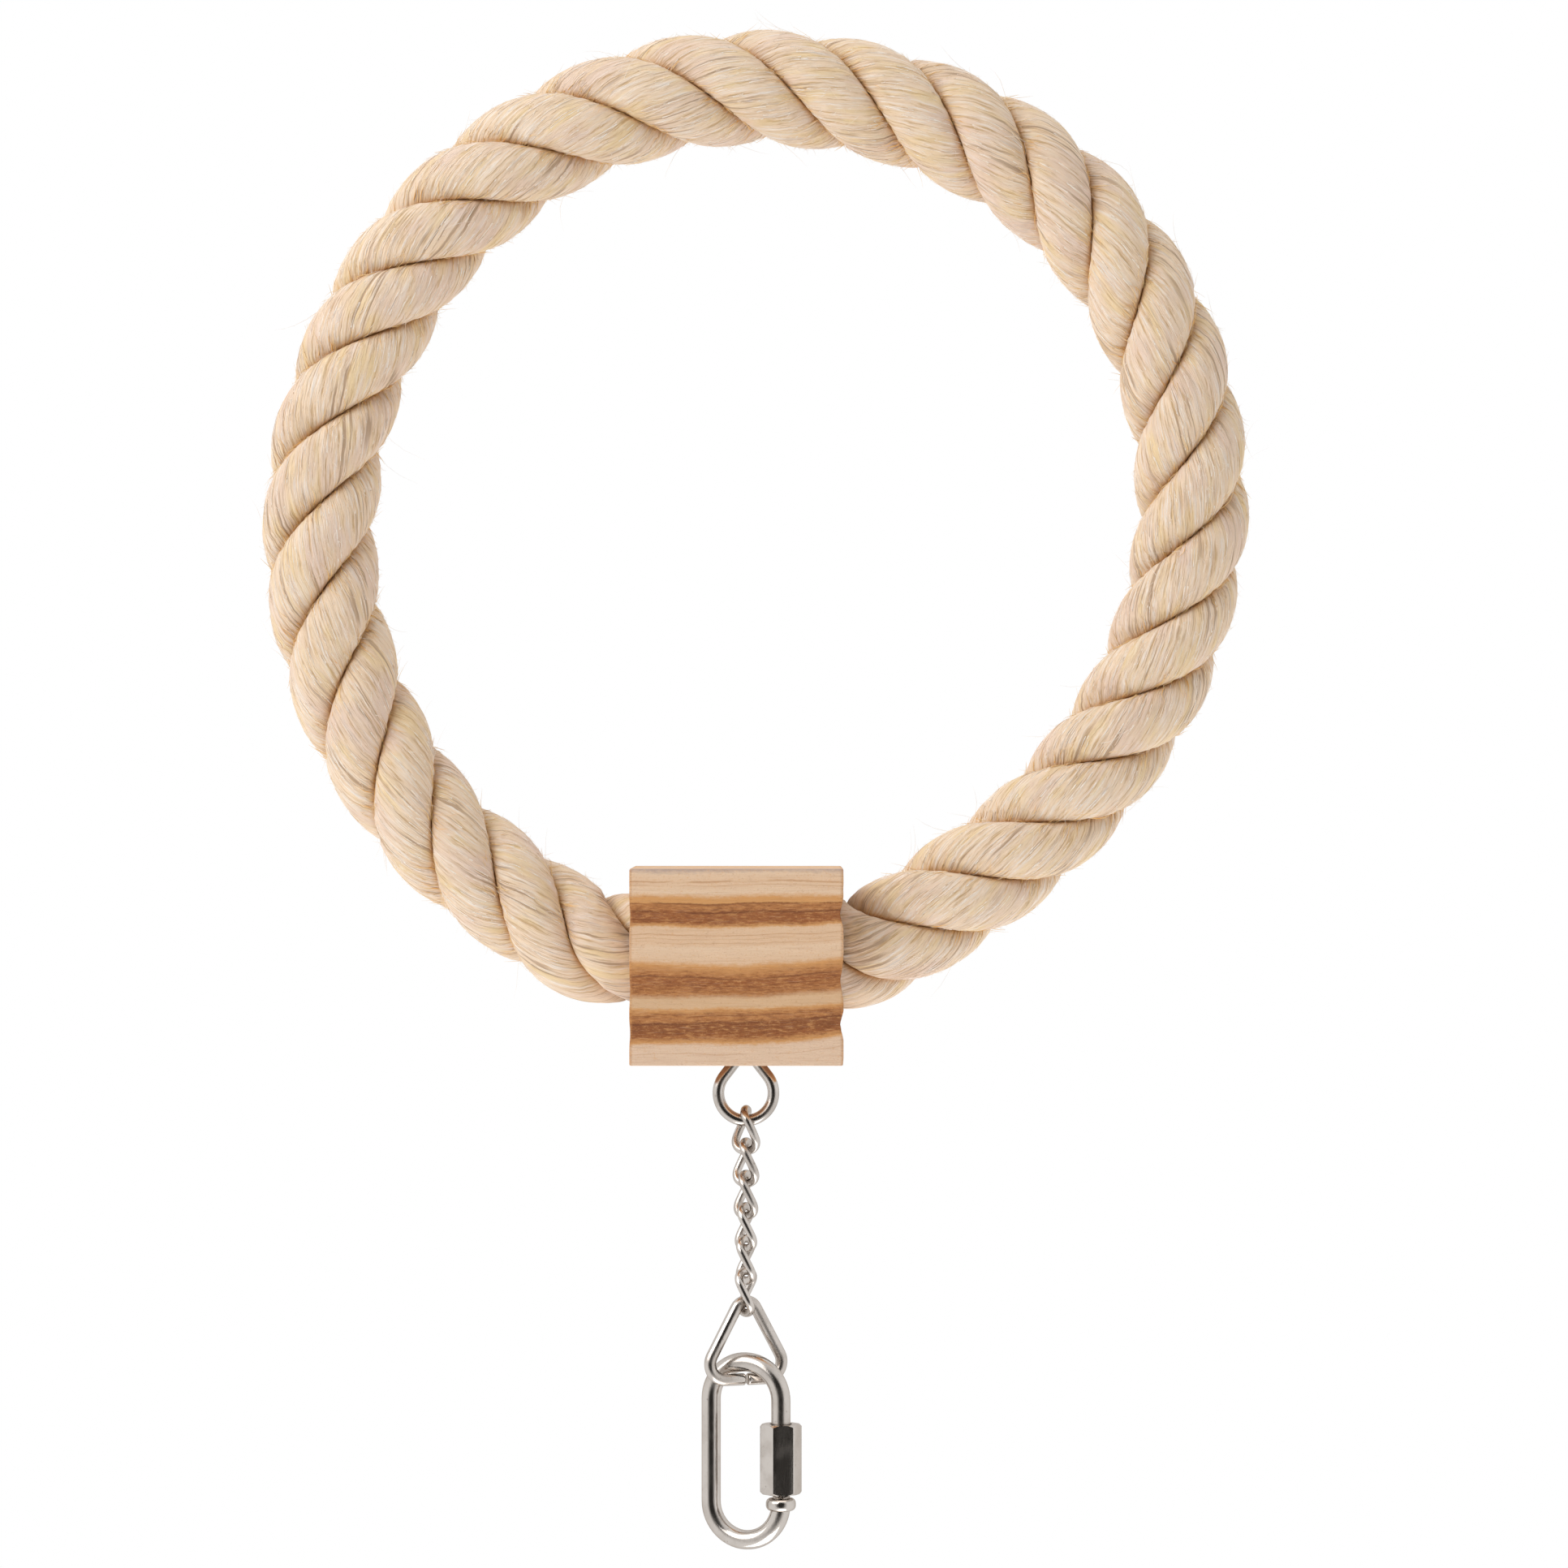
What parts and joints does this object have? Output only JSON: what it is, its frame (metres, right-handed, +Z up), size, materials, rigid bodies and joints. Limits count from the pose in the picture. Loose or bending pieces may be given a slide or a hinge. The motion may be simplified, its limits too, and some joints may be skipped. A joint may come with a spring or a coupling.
{
  "type": "rope ring bird swing",
  "caption": "Thick laid rope bent into a ring, its ends set in a wooden block, hung by a screw eye, twisted chain, triangle link and screw-lock quick link as a swing for a pet bird.",
  "frame": {"origin": "inside of the quick link's top bow, the point where a cage bar or hook carries the swing", "axes": "+Z up along the hanging chain, the rope ring lies in the XZ plane, the pictured face looks towards -Y"},
  "size_m": [0.2036, 0.0406, 0.3142],
  "materials": {
    "cotton_rope": "undyed cotton yarn, slightly hairy",
    "scorched_wood": "brushed and lightly scorched, unvarnished",
    "dried_glue": "dried wood glue",
    "plated_wire": "bright nickel plate on steel wire",
    "plated_lock": "bright nickel plate on steel"
  },
  "bodies": {
    "hanger": {"quick_link": "plated_lock"},
    "lock_nut": {"quick_link_nut": "plated_lock"},
    "triangle": {"triangle_link": "plated_wire"},
    "link_6": {"chain_link_6": "plated_wire"},
    "link_5": {"chain_link_5": "plated_wire"},
    "link_4": {"chain_link_4": "plated_wire"},
    "link_3": {"chain_link_3": "plated_wire"},
    "link_2": {"chain_link_2": "plated_wire"},
    "link_1": {"chain_link_1": "plated_wire"},
    "perch": {"eye_screw": "plated_wire", "wood_block": "scorched_wood", "glue_plug_left": "dried_glue", "glue_plug_right": "dried_glue", "rope_ring": "cotton_rope"}
  },
  "joints": [
    {"name": "nut_travel", "type": "slide", "parent": "hanger", "child": "lock_nut", "axis": [0, 0, -1], "range_m": [0, 0.0045]},
    {"name": "triangle_swing", "type": "hinge", "parent": "hanger", "child": "triangle", "pos_m": [0, 0, -0.03125], "axis": [0.9135, -0.4067, 0], "range_deg": [-60, 60]},
    {"name": "link_6_swing", "type": "hinge", "parent": "triangle", "child": "link_6", "pos_m": [0, 0, -0.04495], "axis": [-0.6293, -0.7771, 0], "range_deg": [-55, 55]},
    {"name": "link_5_swing", "type": "hinge", "parent": "link_6", "child": "link_5", "pos_m": [0, 0, -0.05365], "axis": [-0.7771, 0.6293, 0], "range_deg": [-55, 55]},
    {"name": "link_4_swing", "type": "hinge", "parent": "link_5", "child": "link_4", "pos_m": [0, 0, -0.05835], "axis": [0.7944, 0.6074, 0], "range_deg": [-55, 55]},
    {"name": "link_3_swing", "type": "hinge", "parent": "link_4", "child": "link_3", "pos_m": [0, 0, -0.06705], "axis": [0.6074, -0.7944, 0], "range_deg": [-55, 55]},
    {"name": "link_2_swing", "type": "hinge", "parent": "link_3", "child": "link_2", "pos_m": [0, 0, -0.07175], "axis": [-0.915, -0.4035, 0], "range_deg": [-55, 55]},
    {"name": "link_1_swing", "type": "hinge", "parent": "link_2", "child": "link_1", "pos_m": [0, 0, -0.08045], "axis": [-0.4035, 0.915, 0], "range_deg": [-55, 55]},
    {"name": "perch_swing", "type": "hinge", "parent": "link_1", "child": "perch", "pos_m": [0, 0, -0.0848], "axis": [1, 0, 0], "range_deg": [-60, 60]}
  ]
}
